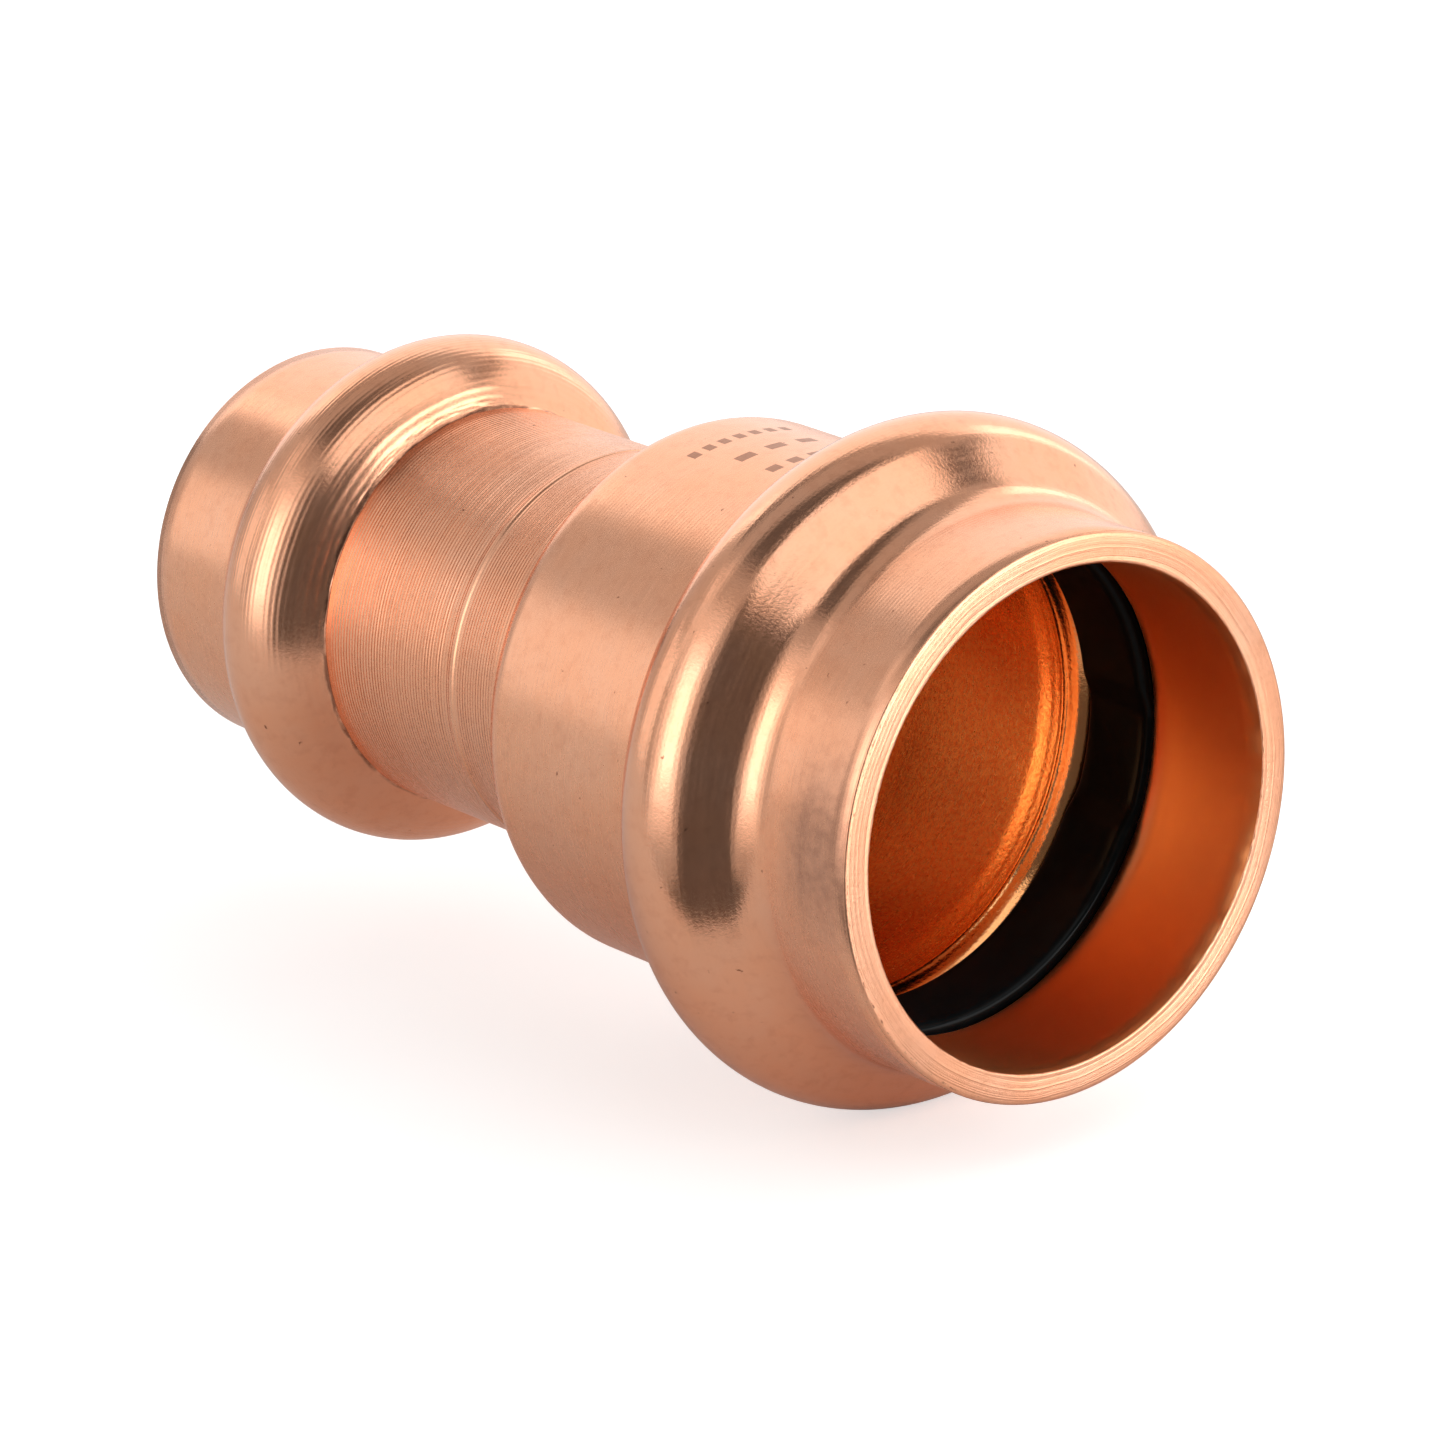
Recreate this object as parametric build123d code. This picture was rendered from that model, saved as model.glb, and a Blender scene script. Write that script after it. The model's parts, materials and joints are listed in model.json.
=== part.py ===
from build123d import *

import os
from dataclasses import dataclass
from math import cos, hypot, radians, sin, sqrt, tan

# A reducing press coupling for copper tube, 3/4 inch nominal to 1/2 inch nominal. It lies along X:
# the centre of the small mouth is the origin, and the large mouth faces +X. Sections are drawn in
# the XZ plane with Z as the radius, and turned about X. Depths are measured from a mouth inward.
# All sizes are in millimetres.

LENGTH = 53.1  # from mouth to mouth

# The middle of the body, between the two sockets
SHOULDER_X = 28.82  # where the lines of the large barrel and the shoulder cone meet
SHOULDER_ANGLE = 50.0  # of the shoulder cone to the axis, in degrees
SHOULDER_RADIUS = 1.8  # rounding at the top of the shoulder
SHOULDER_WALL = 1.3  # thickness through the shoulder cone
FOOT_RADIUS = 9.62  # outside radius where the shoulder cone meets the neck
FOOT_FILLET = 1.5
RIDGE_X = 22.23  # where the neck's slight flare starts
RIDGE_BLEND = 6.0  # rounding of that change of slope
WATERWAY_RADIUS = 7.2  # the narrow bore between the two tube stops
WATERWAY_FILLET = 1.5
STOP_DEPTH = 22.0  # how far the small tube goes in
STOP_CHAMFER_ANGLE = 45.0
STOP_ROUNDING = 0.3
LARGE_STOP_ROUNDING = 0.6

# The sealing rings
SEAL_PLAY = 0.06  # running gap between a ring and its groove
SEAL_TUBE_GAP = 0.018  # radial gap between a ring and the tube, before pressing
SEAL_CORNER = 0.45  # rounding of a ring's two inner corners
SEAL_FACE_FROM_GROOVE = 1.4  # how far the ring's mouth-side face stands outside its groove's round
RELIEFS = 3  # leak paths round a ring, which show a joint that was left unpressed
RELIEF_DEPTH = 0.35
RELIEF_HALF_ANGLE = 12.0  # half of what each one takes of the ring, in degrees
FIRST_RELIEF = 98.7  # where the first one lies, from +Z towards +Y, in degrees


@dataclass
class Socket:
    """One end of the fitting, from its mouth to past its bead."""

    mouth_x: float
    inward: int  # +1 where the socket runs towards +X, -1 where it runs towards -X
    tube: float  # outside radius of the copper tube that goes in
    bore: float  # inside radius
    guide: float  # outside radius from the mouth to the bead
    barrel: float  # outside radius beyond the bead
    bead_depth: float  # the bead's middle, from the mouth
    bead_top: float  # outside radius at the top of the bead
    mouth_crest: float  # rounding of the bead's top on the mouth side
    mouth_flank: list  # steps down to the guide, each as (radius reached, slope, rounding)
    barrel_crest: float  # the same two on the barrel side
    barrel_flank: list
    groove_centre: float  # radius at which the round of the groove is centred
    groove_round: float  # radius of that round, where the sealing ring lies
    groove_fillets: tuple  # radii that lead out of the groove, on the mouth and barrel sides

    def at(self, depth, radius):
        """A point of the section, from its depth and radius."""
        return (self.mouth_x + self.inward * depth, 0, radius)


LARGE = Socket(
    mouth_x=LENGTH,
    inward=-1,
    tube=22.225 / 2,
    bore=11.2,
    guide=12.6,
    barrel=12.4,
    bead_depth=10.16,
    bead_top=15.54,
    mouth_crest=3.05,
    mouth_flank=[(12.6, 47, 2.6)],
    barrel_crest=2.75,
    barrel_flank=[(12.4, 80.6, 1.0)],
    groove_centre=12.79,
    groove_round=1.6,
    groove_fillets=(3.0, 2.2),
)
SMALL = Socket(
    mouth_x=0,
    inward=1,
    tube=15.875 / 2,
    bore=8.03,
    guide=9.43,
    barrel=9.3,
    bead_depth=9.56,
    bead_top=11.96,
    mouth_crest=2.7,
    mouth_flank=[(9.43, 50, 2.0)],
    barrel_crest=2.8,
    barrel_flank=[(10.86, 38, 4.0), (9.3, 60, 0.3)],
    groove_centre=9.43,
    groove_round=1.4,
    groove_fillets=(3.6, 3.0),
)


def arc(centre, start, end):
    """The shorter arc about centre from start to end, all three being points of the section."""
    middle = Vector(*start) + Vector(*end) - Vector(*centre) * 2
    radius = (Vector(*start) - Vector(*centre)).length
    return ThreePointArc(start, Vector(*centre) + middle.normalized() * radius, end)


def bead_side(socket, crest, steps, side, end):
    """One side of the bead's outside, from its top down to its cylinder and on to depth end.

    side is -1 towards the mouth and +1 towards the barrel.
    """
    slope = radians(steps[0][1])
    depth = socket.bead_depth + side * crest * sin(slope)
    radius = socket.bead_top - crest * (1 - cos(slope))
    points = [(depth, radius)]
    for level, angle, _ in steps:
        depth += side * (radius - level) / tan(radians(angle))
        radius = level
        points.append((depth, radius))
    points.append((end, radius))
    top = socket.at(socket.bead_depth, socket.bead_top)
    centre = socket.at(socket.bead_depth, socket.bead_top - crest)
    roundings = [step[2] for step in steps]
    run = FilletPolyline(*[socket.at(*point) for point in points], radius=roundings)
    return [arc(centre, top, socket.at(*points[0])), *run.edges()]


def groove_side(socket, round_radius, level, fillet, side):
    """How one side of the groove's round runs down to a cylinder through a fillet.

    It gives the fillet's centre, its point on the round and its point on the cylinder, each as
    a depth and a radius.
    """
    rise = level + fillet - socket.groove_centre
    reach = side * sqrt((round_radius + fillet) ** 2 - rise**2)
    share = round_radius / (round_radius + fillet)
    centre = (socket.bead_depth + reach, level + fillet)
    on_round = (socket.bead_depth + reach * share, socket.groove_centre + rise * share)
    on_cylinder = (centre[0], level)
    return centre, on_round, on_cylinder


def groove_edges(socket, end):
    """The inside: the bore from the mouth, the groove, and the bore again to depth end."""
    mouth, barrel = (
        groove_side(socket, socket.groove_round, socket.bore, fillet, side)
        for fillet, side in zip(socket.groove_fillets, (-1, +1))
    )
    groove = socket.at(socket.bead_depth, socket.groove_centre)
    return [
        Line(socket.at(0, socket.bore), socket.at(*mouth[2])),
        arc(socket.at(*mouth[0]), socket.at(*mouth[2]), socket.at(*mouth[1])),
        arc(groove, socket.at(*mouth[1]), socket.at(*barrel[1])),
        arc(socket.at(*barrel[0]), socket.at(*barrel[1]), socket.at(*barrel[2])),
        Line(socket.at(*barrel[2]), socket.at(end, socket.bore)),
    ]


def socket_edges(socket, end):
    """The outside, the inside and the cut rim of one end, as far in as depth end."""
    return [
        *bead_side(socket, socket.mouth_crest, socket.mouth_flank, -1, 0),
        *bead_side(socket, socket.barrel_crest, socket.barrel_flank, +1, end),
        *groove_edges(socket, end),
        Line(socket.at(0, socket.guide), socket.at(0, socket.bore)),
    ]


def middle_edges(large_x, small_x):
    """The shoulder, the neck and the waterway, between large_x and small_x."""
    slope = tan(radians(SHOULDER_ANGLE))
    foot_x = SHOULDER_X - (LARGE.barrel - FOOT_RADIUS) / slope
    outside = FilletPolyline(
        (large_x, 0, LARGE.barrel),
        (SHOULDER_X, 0, LARGE.barrel),
        (foot_x, 0, FOOT_RADIUS),
        (RIDGE_X, 0, SMALL.barrel),
        (small_x, 0, SMALL.barrel),
        radius=[SHOULDER_RADIUS, FOOT_FILLET, RIDGE_BLEND],
    )
    # The inner cone lies parallel to the outer one, SHOULDER_WALL inside it.
    shift = SHOULDER_WALL / sin(radians(SHOULDER_ANGLE))
    stop_x = SHOULDER_X + shift - (LARGE.barrel - LARGE.bore) / slope
    throat_x = stop_x - (LARGE.bore - WATERWAY_RADIUS) / slope
    chamfer = (SMALL.bore - WATERWAY_RADIUS) / tan(radians(STOP_CHAMFER_ANGLE))
    inside = FilletPolyline(
        (large_x, 0, LARGE.bore),
        (stop_x, 0, LARGE.bore),
        (throat_x, 0, WATERWAY_RADIUS),
        (STOP_DEPTH + chamfer, 0, WATERWAY_RADIUS),
        (STOP_DEPTH, 0, SMALL.bore),
        (small_x, 0, SMALL.bore),
        radius=[LARGE_STOP_ROUNDING, WATERWAY_FILLET, STOP_ROUNDING, STOP_ROUNDING],
    )
    return [*outside.edges(), *inside.edges()]


def coupling_body():
    """The one-piece copper body: both sockets with their beads, shoulder and neck."""
    large_end, small_end = 18.0, 16.0  # depths at which the sockets hand over to the middle
    edges = [
        *socket_edges(LARGE, large_end),
        *socket_edges(SMALL, small_end),
        *middle_edges(LENGTH - large_end, small_end),
    ]
    return revolve(make_face(edges), Axis.X)


def seal_section(socket):
    """A ring's section: a round back in the groove, and a flat face towards the tube."""
    inner = socket.tube + SEAL_TUBE_GAP
    back = socket.groove_round - SEAL_PLAY
    fillet = socket.groove_fillets[0] + SEAL_PLAY
    # the ring's back follows the groove's mouth-side flank, SEAL_PLAY away from it
    centre, on_round, _ = groove_side(socket, back, socket.bore - SEAL_PLAY, fillet, -1)
    face = socket.bead_depth - socket.groove_round - SEAL_FACE_FROM_GROOVE + SEAL_CORNER
    top = centre[1] - sqrt(fillet**2 - (face - centre[0]) ** 2)
    wall = socket.bead_depth + back
    corner = inner + SEAL_CORNER
    return [
        Line(socket.at(face + SEAL_CORNER, inner), socket.at(wall - SEAL_CORNER, inner)),
        arc(
            socket.at(wall - SEAL_CORNER, corner),
            socket.at(wall - SEAL_CORNER, inner),
            socket.at(wall, corner),
        ),
        Line(socket.at(wall, corner), socket.at(wall, socket.groove_centre)),
        arc(
            socket.at(socket.bead_depth, socket.groove_centre),
            socket.at(wall, socket.groove_centre),
            socket.at(*on_round),
        ),
        arc(socket.at(*centre), socket.at(*on_round), socket.at(face, top)),
        Line(socket.at(face, top), socket.at(face, corner)),
        arc(
            socket.at(face + SEAL_CORNER, corner),
            socket.at(face, corner),
            socket.at(face + SEAL_CORNER, inner),
        ),
    ]


def relief_cutter(socket):
    """A rod along X that cuts one shallow hollow across a ring's face, at the top of the ring."""
    inner = socket.tube + SEAL_TUBE_GAP
    deepest = inner + RELIEF_DEPTH
    side = inner * sin(radians(RELIEF_HALF_ANGLE))
    height = sqrt(inner**2 - side**2)
    # the rod's radius is that of the arc through both ends and the deepest point of the hollow
    sagitta = deepest - height
    radius = hypot(side, sagitta) ** 2 / (2 * sagitta)
    rod = Cylinder(radius, 10, rotation=(0, 90, 0))
    bead_x = socket.at(socket.bead_depth, 0)[0]
    return Location((bead_x, 0, deepest - radius)) * rod


def seal_ring(socket):
    """An EPDM sealing ring with its leak paths, lying in the groove under the bead."""
    ring = revolve(make_face(seal_section(socket)), Axis.X)
    for relief in range(RELIEFS):
        angle = FIRST_RELIEF + relief * 360 / RELIEFS
        ring -= relief_cutter(socket).rotate(Axis.X, -angle)
    return ring


NODES = {
    "coupling_body": coupling_body,
    "large_seal_ring": lambda: seal_ring(LARGE),
    "small_seal_ring": lambda: seal_ring(SMALL),
}

os.makedirs("parts", exist_ok=True)
for name, build in NODES.items():
    export_step(build(), f"parts/{name}.step")
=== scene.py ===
import json
import math
from dataclasses import dataclass
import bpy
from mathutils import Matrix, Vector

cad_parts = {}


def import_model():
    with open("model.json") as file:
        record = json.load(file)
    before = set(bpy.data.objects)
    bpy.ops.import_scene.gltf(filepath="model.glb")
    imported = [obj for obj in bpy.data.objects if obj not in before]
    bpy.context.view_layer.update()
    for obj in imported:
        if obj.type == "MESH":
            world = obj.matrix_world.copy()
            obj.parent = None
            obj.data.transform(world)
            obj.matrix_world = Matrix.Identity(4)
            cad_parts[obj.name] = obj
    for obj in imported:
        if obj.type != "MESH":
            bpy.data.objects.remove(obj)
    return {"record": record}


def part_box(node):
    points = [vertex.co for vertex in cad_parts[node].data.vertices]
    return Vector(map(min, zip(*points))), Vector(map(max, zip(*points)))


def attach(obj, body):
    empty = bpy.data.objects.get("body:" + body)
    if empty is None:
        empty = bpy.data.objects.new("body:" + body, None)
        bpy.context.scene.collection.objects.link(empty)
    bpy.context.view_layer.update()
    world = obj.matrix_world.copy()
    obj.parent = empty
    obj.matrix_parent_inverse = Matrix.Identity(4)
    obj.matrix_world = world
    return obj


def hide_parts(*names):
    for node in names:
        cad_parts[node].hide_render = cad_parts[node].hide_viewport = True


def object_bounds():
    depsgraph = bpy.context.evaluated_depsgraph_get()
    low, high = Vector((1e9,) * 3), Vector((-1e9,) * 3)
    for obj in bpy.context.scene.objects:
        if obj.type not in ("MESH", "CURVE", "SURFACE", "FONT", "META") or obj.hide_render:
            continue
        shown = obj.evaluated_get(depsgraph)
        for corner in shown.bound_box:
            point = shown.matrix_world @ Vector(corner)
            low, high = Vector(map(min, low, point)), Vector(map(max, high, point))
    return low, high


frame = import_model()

from types import SimpleNamespace

import bmesh
import bpy
from mathutils import Vector, noise

cad_low, cad_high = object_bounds()

# A reducing press coupling: one copper body with a rolled bead at each end, and a black sealing
# ring in the groove under each bead. It lies along X, with its small mouth at the origin and its
# large mouth facing +X. Sections are in millimetres, and MM turns them into the scene's metres.
# Angles round the axis are in radians and run from +Z towards +Y.

MM = 0.001
BODY_TURN = 234  # faces round the copper body
SEAL_TURN = 360  # faces round a sealing ring

body_low, body_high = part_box("coupling_body")
mounts = {m["name"]: m["dims"] for m in frame["record"]["mounts"]}

LENGTH = (body_high.x - body_low.x) / MM

# The middle of the body
SHOULDER_X = 28.82
SHOULDER_ANGLE = 50.0
SHOULDER_WALL = 1.3
FOOT_RADIUS = 9.62
RIDGE_X = 22.23
WATERWAY_RADIUS = 7.2
STOP_DEPTH = 22.0
SMALL_END, LARGE_END = 16.0, 18.0  # depths at which the sockets meet the middle

# Small shapes that the CAD leaves plain
RIM_BREAK = 0.09  # the broken corners of a cut rim
CUT_MARK = 0.012  # height of the concentric marks on a rim
BURR = 0.05  # how far the ragged inner edge of a rim stands in
BURR_REACH = 0.05  # how far it spreads over the rim
BURR_SIDE = math.radians(98)  # where it is most ragged
RIDGE_HEIGHT = 0.09
RIDGE_WIDTH = 0.2
SKIRT = (12.66, 12.86)  # the ragged foot of the small bead
SKIRT_ROUGHNESS = 0.012
CREASE = (12.90, 0.06, 0.07)  # where that foot meets the neck: x, half width and depth
BORE_RING = (40.05, 39.3)  # a pressed line and a low band behind the large groove
BORE_RING_HEIGHT = 0.08
WAVINESS = 0.02  # slow unevenness of the drawn tube

# Where the sections get closer points for those shapes: x, reach and spacing
FINE_RIDGE = (RIDGE_X, 0.4, 0.1)
FINE_SKIRT = (12.78, 0.28, 0.06)
FINE_BORE_RING = (sum(BORE_RING) / 2, 1.1, 0.14)

# The view, in metres and degrees, and its lens, in millimetres
AIM = Vector((43.0, -10.8, 4.06)) * MM
VIEW_AZIMUTH = 50.39
VIEW_ELEVATION = 18.0
VIEW_DISTANCE = 0.349
LENS = 204.9
SENSOR_WIDTH = 36.0

# The floor, in metres past the view's aim: the copper reflects only what lies behind FLOOR_FRONT
FLOOR_FRONT = 0.018
FLOOR_MIDDLE = 0.048
FLOOR_REACH = 0.6
FLOOR_HALF_WIDTH = 0.4

# The sealing rings
SEAL_PLAY = 0.06
SEAL_CORNER = 0.45
SEAL_FACE_FROM_GROOVE = 1.4
SEAL_GAP = 0.018
RELIEFS = 3
RELIEF_DEPTH = 0.35
FIRST_RELIEF = math.radians(98.7)
RELIEF_HALF_ANGLE = math.radians(9.0)
RELIEF_RAMP = math.radians(9.0)


@dataclass
class Socket:
    """One end of the fitting, from its mouth to past its bead, as in the CAD."""

    mouth_x: float
    inward: int
    tube: float
    bore: float
    guide: float
    barrel: float
    bead_depth: float
    bead_top: float
    mouth_crest: float
    mouth_flank: list
    barrel_crest: float
    barrel_flank: list
    groove_centre: float
    groove_round: float
    groove_fillets: tuple

    def at(self, depth, radius):
        return (self.mouth_x + self.inward * depth, radius)


LARGE = Socket(
    mouth_x=LENGTH,
    inward=-1,
    tube=22.225 / 2,
    bore=mounts["large_socket"]["r_mm"],
    guide=12.6,
    barrel=12.4,
    bead_depth=10.16,
    bead_top=body_high.z / MM,
    mouth_crest=3.05,
    mouth_flank=[(12.6, 47, 2.6)],
    barrel_crest=2.75,
    barrel_flank=[(12.4, 80.6, 1.0)],
    groove_centre=12.79,
    groove_round=1.6,
    groove_fillets=(3.0, 2.2),
)
SMALL = Socket(
    mouth_x=0,
    inward=1,
    tube=15.875 / 2,
    bore=mounts["small_socket"]["r_mm"],
    guide=9.43,
    barrel=9.3,
    bead_depth=9.56,
    bead_top=11.96,
    mouth_crest=2.7,
    mouth_flank=[(9.43, 50, 2.0)],
    barrel_crest=2.8,
    barrel_flank=[(10.86, 38, 4.0), (9.3, 60, 0.3)],
    groove_centre=9.43,
    groove_round=1.4,
    groove_fillets=(3.6, 3.0),
)


# ---- Sections, as runs of (x, radius) points ----


def smooth(low, high, value):
    """0 at low and 1 at high, with a soft step between; low may be the larger."""
    t = min(1.0, max(0.0, (value - low) / (high - low)))
    return t * t * (3 - 2 * t)


def window(low, high, soft, value):
    """1 from low to high, fading to 0 over soft on both sides."""
    return smooth(low - soft, low, value) * smooth(high + soft, high, value)


def hump(centre, width, value):
    """A small round hump of height 1."""
    return math.exp(-(((value - centre) / width) ** 2))


def line(start, end, steps):
    """Points from start towards end, without the end."""
    return [tuple(a + (b - a) * i / steps for a, b in zip(start, end)) for i in range(steps)]


def arc(centre, start, end, steps):
    """Points of the shorter arc from start towards end, without the end."""
    first = math.atan2(start[1] - centre[1], start[0] - centre[0])
    last = math.atan2(end[1] - centre[1], end[0] - centre[0])
    sweep = (last - first + math.pi) % (2 * math.pi) - math.pi
    radius = math.dist(centre, start)
    angles = [first + sweep * i / steps for i in range(steps)]
    return [(centre[0] + radius * math.cos(a), centre[1] + radius * math.sin(a)) for a in angles]


def rounded(points, radii, line_steps, arc_steps):
    """A run through points with its inner corners rounded, without the last point."""
    run, start = [], points[0]
    for before, corner, after, radius in zip(points, points[1:], points[2:], radii):
        corner = Vector(corner)
        towards = (Vector(before) - corner).normalized()
        away = (Vector(after) - corner).normalized()
        half = towards.angle(away) / 2
        first = corner + towards * (radius / math.tan(half))
        last = corner + away * (radius / math.tan(half))
        centre = corner + (towards + away).normalized() * (radius / math.sin(half))
        run += line(start, first, line_steps) + arc(centre, first, last, arc_steps)
        start = tuple(last)
    return run + line(start, points[-1], line_steps)


def bead_side(socket, crest, steps, side, end, detail):
    """One side of the bead's outside, from its top down to its cylinder and on to depth end."""
    slope = math.radians(steps[0][1])
    depth = socket.bead_depth + side * crest * math.sin(slope)
    radius = socket.bead_top - crest * (1 - math.cos(slope))
    points = [(depth, radius)]
    for level, angle, _ in steps:
        depth += side * (radius - level) / math.tan(math.radians(angle))
        radius = level
        points.append((depth, radius))
    points.append((end, radius))
    top = (socket.bead_depth, socket.bead_top)
    centre = (socket.bead_depth, socket.bead_top - crest)
    run = arc(centre, top, points[0], round(18 * detail))
    run += rounded(points, [step[2] for step in steps], round(5 * detail), round(10 * detail))
    return [socket.at(*p) for p in [*run, points[-1]]]


def groove_side(socket, round_radius, level, fillet, side):
    """One side of a groove's round: its fillet's centre, and both ends of that fillet."""
    rise = level + fillet - socket.groove_centre
    reach = side * math.sqrt((round_radius + fillet) ** 2 - rise**2)
    share = round_radius / (round_radius + fillet)
    centre = (socket.bead_depth + reach, level + fillet)
    on_round = (socket.bead_depth + reach * share, socket.groove_centre + rise * share)
    return centre, on_round, (centre[0], level)


def groove_run(socket, end, detail):
    """The inside, from the mouth over the groove to depth end."""
    mouth, barrel = (
        groove_side(socket, socket.groove_round, socket.bore, fillet, side)
        for fillet, side in zip(socket.groove_fillets, (-1, +1))
    )
    groove = (socket.bead_depth, socket.groove_centre)
    run = line((RIM_BREAK, socket.bore), mouth[2], round(6 * detail))
    run += arc(mouth[0], mouth[2], mouth[1], round(16 * detail))
    run += arc(groove, mouth[1], barrel[1], round(28 * detail))
    run += arc(barrel[0], barrel[1], barrel[2], round(12 * detail))
    run += line(barrel[2], (end, socket.bore), round(6 * detail))
    return [socket.at(*p) for p in [*run, (end, socket.bore)]]


def outside_run(socket, end, detail):
    """The outside, from the mouth over the bead to depth end."""
    mouth = bead_side(socket, socket.mouth_crest, socket.mouth_flank, -1, RIM_BREAK, detail)
    barrel = bead_side(socket, socket.barrel_crest, socket.barrel_flank, +1, end, detail)
    return mouth[:0:-1] + barrel


def middle_run(small_x, large_x, outside):
    """The stretch between the sockets, without its two ends."""
    slope = math.tan(math.radians(SHOULDER_ANGLE))
    if outside:
        foot_x = SHOULDER_X - (LARGE.barrel - FOOT_RADIUS) / slope
        corners = [
            (small_x, SMALL.barrel),
            (RIDGE_X, SMALL.barrel),
            (foot_x, FOOT_RADIUS),
            (SHOULDER_X, LARGE.barrel),
            (large_x, LARGE.barrel),
        ]
        return rounded(corners, [6.0, 1.5, 1.8], 6, 9)[1:]
    shift = SHOULDER_WALL / math.sin(math.radians(SHOULDER_ANGLE))
    stop_x = SHOULDER_X + shift - (LARGE.barrel - LARGE.bore) / slope
    corners = [
        (small_x, SMALL.bore),
        (STOP_DEPTH, SMALL.bore),
        (STOP_DEPTH + SMALL.bore - WATERWAY_RADIUS, WATERWAY_RADIUS),
        (stop_x - (LARGE.bore - WATERWAY_RADIUS) / slope, WATERWAY_RADIUS),
        (stop_x, LARGE.bore),
        (large_x, LARGE.bore),
    ]
    return rounded(corners, [0.3, 0.3, 1.5, 0.6], 3, 6)[1:]


def refined(run, centre, reach, spacing):
    """The run with points added within reach of centre along X, for a small shape there."""
    dense = []
    for here, there in zip(run, run[1:]):
        near = abs((here[0] + there[0]) / 2 - centre) < reach + abs(there[0] - here[0]) / 2
        dense += line(here, there, math.ceil(math.dist(here, there) / spacing) if near else 1)
    return [*dense, run[-1]]


def rim_run(socket, start, end, steps):
    """Across a cut rim from radius start to radius end, inside its broken corners."""
    step = math.copysign(RIM_BREAK, end - start)
    x = socket.mouth_x
    return line((x, start + step), (x, end - step), steps) + [(x, end - step)]


def body_loop():
    """The copper wall's whole section as (x, radius, side), side being where each point lies."""
    middle_span = (SMALL_END, LENGTH - LARGE_END)
    outside = outside_run(SMALL, SMALL_END, 0.95)
    outside += middle_run(*middle_span, True)
    outside += outside_run(LARGE, LARGE_END, 1.05)[::-1]
    outside = refined(outside, *FINE_RIDGE)
    outside = refined(outside, *FINE_SKIRT)
    inside = groove_run(LARGE, LARGE_END, 0.8)
    inside += middle_run(*middle_span, False)[::-1]
    inside += groove_run(SMALL, SMALL_END, 0.5)[::-1]
    inside = refined(inside, *FINE_BORE_RING)
    parts = {
        "outside": outside,
        "large_rim": rim_run(LARGE, LARGE.guide, LARGE.bore, 16),
        "inside": inside,
        "small_rim": rim_run(SMALL, SMALL.bore, SMALL.guide, 12),
    }
    return [(x, radius, side) for side, run in parts.items() for x, radius in run]


def seal_loop(socket):
    """A ring's section as (x, radius, side): a round back and a flat face towards the tube."""
    inner = socket.tube + SEAL_GAP
    back = socket.groove_round - SEAL_PLAY
    fillet = socket.groove_fillets[0] + SEAL_PLAY
    centre, on_round, _ = groove_side(socket, back, socket.bore - SEAL_PLAY, fillet, -1)
    face = socket.bead_depth - socket.groove_round - SEAL_FACE_FROM_GROOVE + SEAL_CORNER
    top = centre[1] - math.sqrt(fillet**2 - (face - centre[0]) ** 2)
    wall = socket.bead_depth + back
    corner = inner + SEAL_CORNER
    groove = (socket.bead_depth, socket.groove_centre)
    run = line((face + SEAL_CORNER, inner), (wall - SEAL_CORNER, inner), 10)
    run += arc((wall - SEAL_CORNER, corner), (wall - SEAL_CORNER, inner), (wall, corner), 8)
    run += line((wall, corner), (wall, socket.groove_centre), 6)
    run += arc(groove, (wall, socket.groove_centre), on_round, 16)
    run += arc(centre, on_round, (face, top), 8)
    run += line((face, top), (face, corner), 4)
    run += arc((face + SEAL_CORNER, corner), (face, corner), (face + SEAL_CORNER, inner), 8)
    return [(*socket.at(*p), "ring") for p in run]


# ---- Meshes ----


def turned_mesh(name, loop, turn_steps, shape):
    """A closed loop turned about X. shape gives each vertex its own x and radius."""
    vertices = []
    for turn in range(turn_steps):
        angle = 2 * math.pi * turn / turn_steps
        for x, radius, side in loop:
            x, radius = shape(x, radius, side, angle)
            y, z = radius * math.sin(angle), radius * math.cos(angle)
            vertices.append((x * MM, y * MM, z * MM))
    faces, count = [], len(loop)
    for turn in range(turn_steps):
        here, there = turn * count, (turn + 1) % turn_steps * count
        for i in range(count):
            j = (i + 1) % count
            faces.append((here + i, here + j, there + j, there + i))
    mesh = bpy.data.meshes.new(name)
    mesh.from_pydata(vertices, [], faces)
    made = bmesh.new()
    made.from_mesh(mesh)
    bmesh.ops.recalc_face_normals(made, faces=made.faces)
    made.to_mesh(mesh)
    made.free()
    mesh.shade_smooth()
    piece = bpy.data.objects.new(name, mesh)
    bpy.context.scene.collection.objects.link(piece)
    return piece


def paint(piece, loop, turn_steps, name, value):
    """Stores value(x, radius, side) at each vertex, for the material to read."""
    column = [value(x, radius, side) for x, radius, side in loop]
    attribute = piece.data.attributes.new(name, "FLOAT", "POINT")
    attribute.data.foreach_set("value", column * turn_steps)


def around(angle, cycles, seed):
    """Smooth noise that closes on itself round the axis, from -1 to 1."""
    reach = cycles / (2 * math.pi)
    return noise.noise((reach * math.cos(angle), reach * math.sin(angle), seed))


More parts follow.
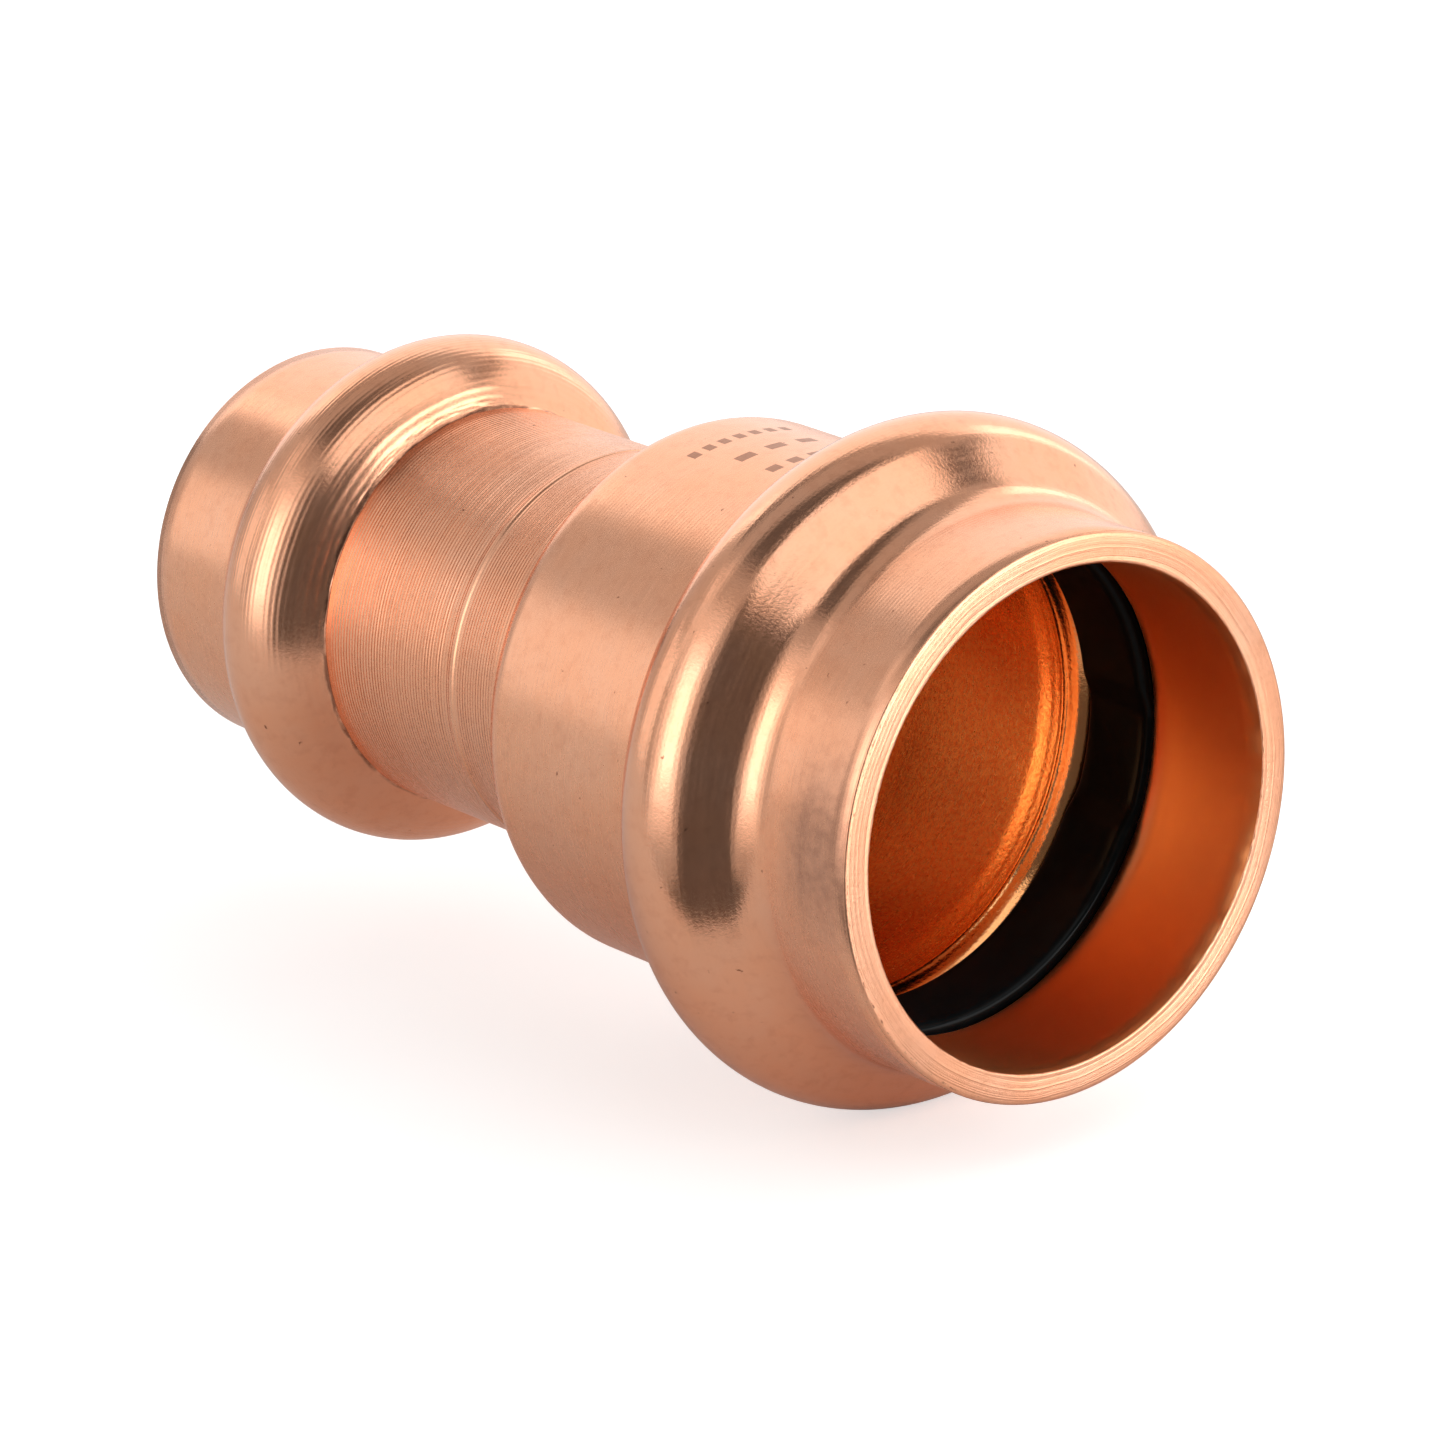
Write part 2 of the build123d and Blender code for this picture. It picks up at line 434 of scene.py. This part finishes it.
def body_shape(x, radius, side, angle):
    """The copper body's small shapes, on top of its plain section."""
    if side.endswith("rim"):
        drift = 0.25 * around(angle, 4, 7.0)
        marks = noise.noise((radius * 5.5 + drift, 0.4 * math.cos(angle), 0.4 * math.sin(angle)))
        ends = LARGE if side == "large_rim" else SMALL
        edge = hump(ends.bore + RIM_BREAK, BURR_REACH, radius)
        ragged = 1 + 2.0 * hump(BURR_SIDE, 0.5, angle)
        burr = BURR * edge * ragged * max(0.0, around(angle, 150, 3.0) + 0.3)
        return x - ends.inward * CUT_MARK * (marks - 1), radius - burr
    wave = WAVINESS * noise.noise((x * 0.08, 0.7 * math.cos(angle), 0.7 * math.sin(angle)))
    if side == "inside":
        pressed = hump(BORE_RING[1], 0.5, x) - hump(BORE_RING[0], 0.14, x)
        return x, radius + wave + BORE_RING_HEIGHT * pressed
    ridge = RIDGE_HEIGHT * hump(RIDGE_X, RIDGE_WIDTH, x)
    torn = 0.6 * around(angle, 60, x * 6) + around(angle, 240, x * 14)
    torn *= SKIRT_ROUGHNESS * window(*SKIRT, 0.1, x)
    crease = CREASE[2] * hump(CREASE[0], CREASE[1], x) * (0.7 + around(angle, 45, 5.0))
    return x + torn, radius + wave + ridge + torn - crease


def seal_shape(socket):
    """How a ring's face steps back at each of its leak paths."""
    inner = socket.tube + SEAL_GAP

    def shape(x, radius, side, angle):
        depth = 0.0
        for relief in range(RELIEFS):
            middle = FIRST_RELIEF + relief * 2 * math.pi / RELIEFS
            away = abs((angle - middle + math.pi) % (2 * math.pi) - math.pi)
            depth += RELIEF_DEPTH * smooth(RELIEF_HALF_ANGLE + RELIEF_RAMP, RELIEF_HALF_ANGLE, away)
        return x, radius + depth * smooth(inner + 1.2, inner + 0.2, radius)

    return shape


def turned_finish(x, radius, side):
    """How strongly the lathe's fine lines show: on the neck and the small bead."""
    if side != "outside":
        return 0.0
    neck = window(14.5, 25.0, 1.5, x)
    bead = 0.18 * window(6.3, 12.3, 1.2, x)
    return 0.05 + 0.95 * max(neck, bead)


def polish_finish(x, radius, side):
    """How bright the surface is drawn: the beads and their flanks."""
    if side == "outside":
        return max(window(41.0, 47.2, 1.0, x), 0.5 * window(7.0, 12.4, 1.0, x))
    return window(40.3, 42.5, 0.6, x) if side == "inside" else 0.0


# ---- Materials ----


class Nodes:
    """A material's node tree, where a number, a colour or a node's output feeds each input."""

    def __init__(self, name):
        self.material = bpy.data.materials.new(name)
        self.material.use_nodes = True
        self.tree = self.material.node_tree
        self.surface = self.tree.nodes["Principled BSDF"]
        objects = self.add("ShaderNodeTexCoord").outputs["Object"]
        scaled = self.add("ShaderNodeVectorMath", {0: objects, "Scale": 1 / MM}, operation="SCALE")
        self.place = scaled.outputs[0]  # in millimetres

    def add(self, kind, inputs=None, **settings):
        made = self.tree.nodes.new(kind)
        for key, value in settings.items():
            setattr(made, key, value)
        for key, value in (inputs or {}).items():
            self.feed(made.inputs[key], value)
        return made

    def feed(self, socket, value):
        if isinstance(value, bpy.types.NodeSocket):
            self.tree.links.new(value, socket)
        else:
            socket.default_value = value

    def math(self, operation, a, b=0.0, c=0.0):
        inputs = {0: a, 1: b, 2: c}
        return self.add("ShaderNodeMath", inputs, operation=operation).outputs[0]

    def attribute(self, name):
        return self.add("ShaderNodeAttribute", attribute_name=name).outputs["Fac"]

    def noise(self, vector, scale, detail=2.0, roughness=0.5):
        inputs = {"Vector": vector, "Scale": scale, "Detail": detail, "Roughness": roughness}
        return self.add("ShaderNodeTexNoise", inputs).outputs["Fac"]

    def stretched(self, x, y, z):
        made = self.add("ShaderNodeVectorMath", {0: self.place, 1: (x, y, z)}, operation="MULTIPLY")
        return made.outputs[0]

    def ramp(self, value, low, high, to_low=0.0, to_high=1.0):
        inputs = {"Value": value, 1: low, 2: high, 3: to_low, 4: to_high}
        return self.add("ShaderNodeMapRange", inputs).outputs[0]

    def mix(self, factor, a, b):
        made = self.add("ShaderNodeMix", data_type="RGBA")
        self.feed(made.inputs[0], factor)
        self.feed(made.inputs[6], a)
        self.feed(made.inputs[7], b)
        return made.outputs[2]

    def axes(self):
        return self.add("ShaderNodeSeparateXYZ", {0: self.place}).outputs

    def product(self, first, *others):
        for other in others:
            first = self.math("MULTIPLY", first, other)
        return first

    def relief(self, height, distance, normal=None):
        inputs = {"Height": height, "Distance": distance * MM}
        if normal is not None:
            inputs["Normal"] = normal
        return self.add("ShaderNodeBump", inputs).outputs[0]

    def settings(self, **values):
        for key, value in values.items():
            self.feed(self.surface.inputs[key.replace("_", " ")], value)


# Colours, in linear red, green and blue
COPPER_RED = (0.96, 0.45, 0.26, 1)
COPPER_PALE = (0.94, 0.48, 0.30, 1)
COPPER_INSIDE = (0.96, 0.40, 0.15, 1)
SAND_DARK = (0.96, 0.39, 0.14, 1)
SAND_PALE = (1.0, 0.56, 0.25, 1)
TARNISH = (0.72, 0.30, 0.17, 1)
SPECK = (0.35, 0.14, 0.08, 1)
# Painted shade on the large guide's lower front, on the viewer's side
GUIDE_SHADE = (0.42, 0.21, 0.14, 1)
# Painted shade, in the small bead's crease and under the large rim's burr
PAINTED_SHADE = (0.30, 0.12, 0.07, 1)
BURNT = (0.16, 0.07, 0.045, 1)
RUBBER_DARK = (0.003, 0.005, 0.006, 1)
RUBBER_PALE = (0.005, 0.008, 0.009, 1)
FLOOR_DARK = (0.70, 0.70, 0.70, 1)
FLOOR_PALE = (0.72, 0.72, 0.72, 1)

# Heights of the copper's reliefs, in millimetres
LATHE_HEIGHT = 0.0120
STREAK_HEIGHT = 0.0030
CUT_HEIGHT = 0.04
SAND_HEIGHT = 0.015
GRAIN_HEIGHT = 0.0030

LATHE_PITCH = 0.205  # along X, in millimetres

# Rows of bars: x and height in mm, start and end angles, and number of bars
ETCHED_ROWS = [
    (36.2, 0.6, math.radians(-12), math.radians(10), 4),
    (34.1, 0.6, math.radians(-12), math.radians(12), 3),
    (31.9, 0.6, math.radians(-16), math.radians(12), 7),
]


def radius_of(nodes):
    """The distance from the axis, in millimetres."""
    flat = nodes.stretched(0, 1, 1)
    return nodes.add("ShaderNodeVectorMath", {0: flat}, operation="LENGTH").outputs["Value"]


def lathe_lines(nodes, x):
    """The height of the fine feed lines along X, regular with a slow wander."""
    wander = nodes.math("MULTIPLY", nodes.noise(nodes.place, 0.25), 3.0)
    phase = nodes.math("MULTIPLY_ADD", x, 2 * math.pi / LATHE_PITCH, wander)
    wave = nodes.math("SINE", phase)
    bands = nodes.noise(nodes.stretched(2.6, 0.03, 0.03), 1.0, 3.0)
    return nodes.math("MULTIPLY", wave, nodes.ramp(bands, 0.35, 0.7, 0.7, 1.1))


def cut_marks(nodes):
    """The height of the concentric marks that the cut left on a rim."""
    drift = nodes.math("MULTIPLY", nodes.noise(nodes.place, 0.12), 0.9)
    radius = nodes.math("ADD", radius_of(nodes), drift)
    lines = nodes.noise(nodes.add("ShaderNodeCombineXYZ", {0: radius}).outputs[0], 6.5, 4.0, 0.6)
    middle = nodes.math("ABSOLUTE", nodes.math("SUBTRACT", radius_of(nodes), LARGE.guide - 0.6))
    return nodes.math("MULTIPLY", lines, nodes.ramp(middle, 0.2, 0.5, 2.6, 1.0))


def rim_burr_shadow(nodes, rim):
    """Painted shadow: a broken dark line just inside the large rim's outer edge, on one side, under
    its burr.
    """
    drift = nodes.math("MULTIPLY_ADD", nodes.noise(nodes.place, 0.35), 0.3, LARGE.guide - 0.33)
    away = nodes.math("ABSOLUTE", nodes.math("SUBTRACT", radius_of(nodes), drift))
    burr = nodes.ramp(away, 0.01, 0.06, 1.0, 0.0)
    broken = nodes.ramp(nodes.noise(nodes.place, 2.3, 4.0, 0.7), 0.50, 0.64)
    side = nodes.ramp(nodes.axes()["Y"], -4.0, -7.0)
    return nodes.product(burr, broken, side, rim)


def crease_painted_shade(nodes, x, outside):
    """Painted shade: a broken dark line in the crease where the small bead's ragged foot meets the
    neck.
    """
    wander = nodes.noise(nodes.place, 1.2, 3.0, 0.6)
    drift = nodes.math("MULTIPLY_ADD", wander, 0.24, CREASE[0] - 0.15)
    away = nodes.math("ABSOLUTE", nodes.math("SUBTRACT", x, drift))
    crease_shade_line = nodes.ramp(away, 0.03, 0.10, 0.9, 0.0)
    broken = nodes.ramp(nodes.noise(nodes.place, 0.6, 4.0, 0.6), 0.38, 0.52)
    return nodes.product(crease_shade_line, broken, outside)


def guide_painted_shade(nodes, x, mottle):
    """Painted shade: a soft darkening on the large guide's lower front."""
    axes = nodes.axes()
    upper = nodes.ramp(axes["Z"], 7.0, 2.5)
    lower = nodes.ramp(axes["Z"], -4.0, -0.5)
    front = nodes.ramp(axes["Y"], -6.0, -12.0)
    mouth = nodes.ramp(x, 48.6, 50.2)
    return nodes.product(upper, lower, front, mouth, nodes.ramp(mottle, 0.3, 0.6, 0.6, 1.0))


def etched_rows(nodes, x):
    """1 on three rows of plain bars burnt into the barrel, which stand for its size marking."""
    axes = nodes.axes()
    angle = nodes.math("ARCTAN2", axes["Y"], axes["Z"])
    outside = nodes.ramp(radius_of(nodes), LARGE.bore + 0.7, LARGE.bore + 0.8)
    total = 0.0
    for row_x, height, start, end, bars in ETCHED_ROWS:
        along = nodes.math("ABSOLUTE", nodes.math("SUBTRACT", x, row_x))
        in_row = nodes.math("LESS_THAN", along, height / 2)
        turn = nodes.math("DIVIDE", nodes.math("SUBTRACT", angle, start), (end - start) / bars)
        after = nodes.math("GREATER_THAN", turn, 0.0)
        before = nodes.math("LESS_THAN", turn, float(bars))
        bar = nodes.math("LESS_THAN", nodes.math("FRACT", turn), 0.55)
        total = nodes.math("MAXIMUM", nodes.product(in_row, after, before, bar, outside), total)
    return total


def copper_fields(nodes):
    """Where each finish of the copper lies, and the noises that its looks share."""
    x = nodes.axes()["X"]
    inside, rim = nodes.attribute("inside"), nodes.attribute("rim")
    behind_groove, above_stop = nodes.ramp(x, 41.0, 39.8), nodes.ramp(x, 22.5, 23.5)
    return SimpleNamespace(
        x=x,
        inside=inside,
        rim=rim,
        turned=nodes.attribute("turned"),
        polish=nodes.attribute("polish"),
        outside=nodes.math("SUBTRACT", 1.0, nodes.math("MAXIMUM", inside, rim)),
        deep=nodes.product(behind_groove, above_stop, inside),
        burnt=nodes.math("MULTIPLY", etched_rows(nodes, x), 0.6),
        streaks=nodes.noise(nodes.stretched(9.0, 0.45, 0.45), 1.0, 3.0),
        grain=nodes.noise(nodes.place, 7.0, 3.0, 0.6),
        mottle=nodes.noise(nodes.place, 1.6, 3.0, 0.6),
        satin=nodes.noise(nodes.place, 5.0, 3.0, 0.6),
    )


def copper_colour(nodes, fields):
    """Two tones in patches, tarnish, specks, painted shade on the large guide's lower front, in the
    small bead's crease and under the large rim's burr, a redder inside and the etched rows.
    """
    patches = nodes.noise(nodes.place, 0.22, 4.0, 0.6)
    colour = nodes.mix(nodes.ramp(patches, 0.35, 0.65), COPPER_RED, COPPER_PALE)
    tarnish = nodes.math("MULTIPLY", nodes.ramp(fields.mottle, 0.50, 0.70), 0.26)
    colour = nodes.mix(tarnish, colour, TARNISH)
    specks = nodes.ramp(nodes.noise(nodes.place, 2.6, 2.0), 0.74, 0.80)
    colour = nodes.mix(nodes.product(specks, fields.outside), colour, SPECK)
    # Painted shade on the large guide's lower front
    guide_shade = nodes.product(guide_painted_shade(nodes, fields.x, fields.mottle), fields.outside, 0.7)
    colour = nodes.mix(guide_shade, colour, GUIDE_SHADE)
    # Painted shade in the crease between the small bead's foot and the neck
    colour = nodes.mix(crease_painted_shade(nodes, fields.x, fields.outside), colour, PAINTED_SHADE)
    colour = nodes.mix(fields.inside, colour, COPPER_INSIDE)
    sandy = nodes.mix(nodes.ramp(fields.satin, 0.40, 0.58), SAND_DARK, SAND_PALE)
    colour = nodes.mix(fields.deep, colour, sandy)
    # Painted shadow under the large rim's burr, on one side
    colour = nodes.mix(rim_burr_shadow(nodes, fields.rim), colour, PAINTED_SHADE)
    return nodes.mix(fields.burnt, colour, BURNT)


def copper_roughness(nodes, fields):
    """Satin, with smoother beads and grooves and rougher insides, rims and etching."""
    groove = nodes.product(fields.polish, fields.inside)
    uneven = nodes.ramp(fields.grain, 0.3, 0.7, -0.5, 0.5)
    roughness = nodes.ramp(fields.streaks, 0.3, 0.7, 0.23, 0.29)
    for where, change in (
        (fields.polish, -0.08),
        (fields.inside, 0.12),
        (groove, -0.12),
        (fields.deep, -0.13),
        (fields.rim, 0.10),
        (uneven, 0.05),
        (fields.burnt, 0.25),
    ):
        roughness = nodes.math("MULTIPLY_ADD", where, change, roughness)
    return roughness


def copper_relief(nodes, fields):
    """Lathe lines, drawn streaks, the rims' cut marks, the sandy bore and a fine grain."""
    lines = nodes.product(lathe_lines(nodes, fields.x), fields.turned)
    drawn = nodes.math("MULTIPLY_ADD", fields.turned, 0.1, 0.2)
    rough = nodes.math("ADD", nodes.math("ADD", fields.polish, 1.0), nodes.product(fields.rim, 4.0))
    normal = nodes.relief(lines, LATHE_HEIGHT)
    normal = nodes.relief(nodes.product(fields.streaks, drawn), STREAK_HEIGHT, normal)
    normal = nodes.relief(nodes.product(cut_marks(nodes), fields.rim), CUT_HEIGHT, normal)
    normal = nodes.relief(nodes.product(fields.satin, fields.deep), SAND_HEIGHT, normal)
    return nodes.relief(nodes.product(fields.grain, rough), GRAIN_HEIGHT, normal)


def copper_material():
    """Drawn copper: satin, with lathe lines, polished beads, grain, tarnish and etched rows."""
    nodes = Nodes("copper")
    fields = copper_fields(nodes)
    nodes.settings(
        Base_Color=copper_colour(nodes, fields),
        Metallic=1.0,
        Roughness=copper_roughness(nodes, fields),
        Normal=copper_relief(nodes, fields),
    )
    return nodes.material


def rubber_material():
    """Black EPDM with a thin film of lubricant."""
    nodes = Nodes("seal_rubber")
    cloud = nodes.noise(nodes.place, 1.2, 3.0)
    grain = nodes.noise(nodes.place, 6.0, 3.0, 0.6)
    colour = nodes.mix(nodes.ramp(cloud, 0.3, 0.7), RUBBER_DARK, RUBBER_PALE)
    roughness = nodes.ramp(cloud, 0.3, 0.7, 0.40, 0.55)
    nodes.settings(Base_Color=colour, Roughness=roughness, Normal=nodes.relief(grain, 0.004))
    nodes.settings(Coat_Weight=0.12, Coat_Roughness=0.03, Specular_IOR_Level=0.03)
    return nodes.material


def floor_material():
    """A plain pale light table, brighter to the eye than in the copper's reflections."""
    nodes = Nodes("floor")
    tone = nodes.noise(nodes.place, 0.01, 2.0)
    colour = nodes.mix(nodes.ramp(tone, 0.3, 0.7), FLOOR_DARK, FLOOR_PALE)
    seen = nodes.add("ShaderNodeLightPath").outputs["Is Camera Ray"]
    glow = nodes.math("MULTIPLY", seen, 0.56)
    nodes.settings(Base_Color=colour, Roughness=0.8, Specular_IOR_Level=0.2)
    nodes.settings(Emission_Color=(1, 1, 1, 1), Emission_Strength=glow)
    return nodes.material


# ---- Pieces ----


def copper_body():
    """The whole copper body, in place of its plain CAD solid."""
    loop = body_loop()
    piece = turned_mesh("copper_body", loop, BODY_TURN, body_shape)
    paint(piece, loop, BODY_TURN, "turned", turned_finish)
    paint(piece, loop, BODY_TURN, "polish", polish_finish)
    paint(piece, loop, BODY_TURN, "inside", lambda x, radius, side: float(side == "inside"))
    paint(piece, loop, BODY_TURN, "rim", lambda x, radius, side: float(side.endswith("rim")))
    piece.data.materials.append(copper_material())
    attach(piece, "body")
    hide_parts("coupling_body")


def seal_piece(name, socket, body, node, material):
    """One sealing ring with its leak paths, in place of its CAD solid."""
    piece = turned_mesh(name, seal_loop(socket), SEAL_TURN, seal_shape(socket))
    piece.data.materials.append(material)
    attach(piece, body)
    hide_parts(node)


def floor_card(name, material, front, back):
    """A card on the floor, from front to back along the view, in metres past its aim."""
    ahead = direction(VIEW_AZIMUTH, 0)
    side = Vector((-ahead.y, ahead.x, 0)) * FLOOR_HALF_WIDTH
    corners = [AIM + ahead * front - side, AIM + ahead * front + side]
    corners += [AIM + ahead * back + side, AIM + ahead * back - side]
    mesh = bpy.data.meshes.new(name)
    mesh.from_pydata([(p.x, p.y, body_low.z) for p in corners], [], [(0, 1, 2, 3)])
    piece = bpy.data.objects.new(name, mesh)
    piece.data.materials.append(material)
    bpy.context.scene.collection.objects.link(piece)
    return piece


def floor():
    """A plain pale floor that the large bead lies on. The copper doesn't reflect its front."""
    material = floor_material()
    floor_card("floor", material, FLOOR_FRONT, -FLOOR_REACH)
    front = floor_card("floor_front", material, FLOOR_MIDDLE, FLOOR_FRONT)
    beyond = floor_card("floor_beyond", material, FLOOR_REACH, FLOOR_MIDDLE)
    front.visible_glossy = front.visible_diffuse = False
    beyond.visible_glossy = beyond.visible_diffuse = beyond.visible_shadow = False


# ---- Light and camera ----


def direction(azimuth, elevation):
    """The unit vector from the object towards a place round it; azimuth 0 is -Y, 90 is +X."""
    a, e = math.radians(azimuth), math.radians(elevation)
    return Vector((math.sin(a) * math.cos(e), -math.cos(a) * math.cos(e), math.sin(e)))


STUDIO_DIM = (0.11, 0.11, 0.11, 1)
STUDIO_PALE = (0.90, 0.90, 0.90, 1)

# Name, azimuth, elevation, width and height in degrees, and radiance
SOFTBOXES = [
    ("front", -3, 15, 72, 92, 0.35),
    ("front_wide", -3, 15, 62, 80, 0.40),
    ("front_mid", -1, 15, 50, 66, 0.40),
    ("front_core", 2, 14, 36, 48, 0.50),
    ("front_centre", 3, 14, 22, 32, 1.0),
    ("left", -64, 20, 56, 54, 0.42),
    ("left_core", -51, 11, 26, 28, 0.52),
    ("back_left", -130, 26, 72, 60, 1.1),
    ("back", 172, 18, 50, 44, 1.1),
    ("right", 114, 6, 44, 58, 3.4),
    ("right_core", 94, 9, 18, 22, 3.2),
    ("top_right", 98, 58, 60, 30, 1.2),
    ("top_back", -115, 74, 90, 26, 0.35),
]


def softbox(name, azimuth, elevation, across, tall, radiance):
    """An even area light that fills across by tall degrees, seen from the object."""
    light = bpy.data.lights.new(name, "AREA")
    light.shape = "RECTANGLE"
    light.size, light.size_y = (2 * math.tan(math.radians(a / 2)) for a in (across, tall))
    light.energy = math.pi * light.size * light.size_y * radiance
    lamp = bpy.data.objects.new(name, light)
    towards = direction(azimuth, elevation)
    lamp.location = (cad_low + cad_high) / 2 + towards
    lamp.visible_camera = False
    lamp.rotation_mode = "QUATERNION"
    lamp.rotation_quaternion = towards.to_track_quat("Z", "Y")
    bpy.context.scene.collection.objects.link(lamp)


def lights():
    """A soft studio: bright in front, behind and above, with the viewer's side left dark."""
    for name, *values in SOFTBOXES:
        softbox(name, *values)


def world():
    """A dim studio round the object, with a plain pale background for the camera."""
    made = bpy.data.worlds.new("studio")
    made.use_nodes = True
    tree = made.node_tree
    tree.nodes.clear()
    path = tree.nodes.new("ShaderNodeLightPath")
    dim, pale = (tree.nodes.new("ShaderNodeBackground") for _ in range(2))
    dim.inputs["Color"].default_value = STUDIO_DIM
    pale.inputs["Color"].default_value = STUDIO_PALE
    mix = tree.nodes.new("ShaderNodeMixShader")
    out = tree.nodes.new("ShaderNodeOutputWorld")
    tree.links.new(path.outputs["Is Camera Ray"], mix.inputs[0])
    tree.links.new(dim.outputs[0], mix.inputs[1])
    tree.links.new(pale.outputs[0], mix.inputs[2])
    tree.links.new(mix.outputs[0], out.inputs[0])
    bpy.context.scene.world = made


def camera():
    """A long lens, looking down a little from the large mouth's side."""
    towards = direction(VIEW_AZIMUTH, VIEW_ELEVATION)
    made = bpy.data.cameras.new("camera")
    made.lens, made.sensor_width = LENS, SENSOR_WIDTH
    made.clip_start, made.clip_end = 0.01, 10.0
    eye = bpy.data.objects.new("camera", made)
    eye.location = AIM + towards * VIEW_DISTANCE
    eye.rotation_mode = "QUATERNION"
    eye.rotation_quaternion = towards.to_track_quat("Z", "Y")
    bpy.context.scene.collection.objects.link(eye)
    bpy.context.scene.camera = eye


copper_body()
rubber = rubber_material()
seal_piece("large_seal", LARGE, "large_seal", "large_seal_ring", rubber)
seal_piece("small_seal", SMALL, "small_seal", "small_seal_ring", rubber)
floor()
lights()
world()
camera()
bpy.context.scene.view_settings.view_transform = "Standard"
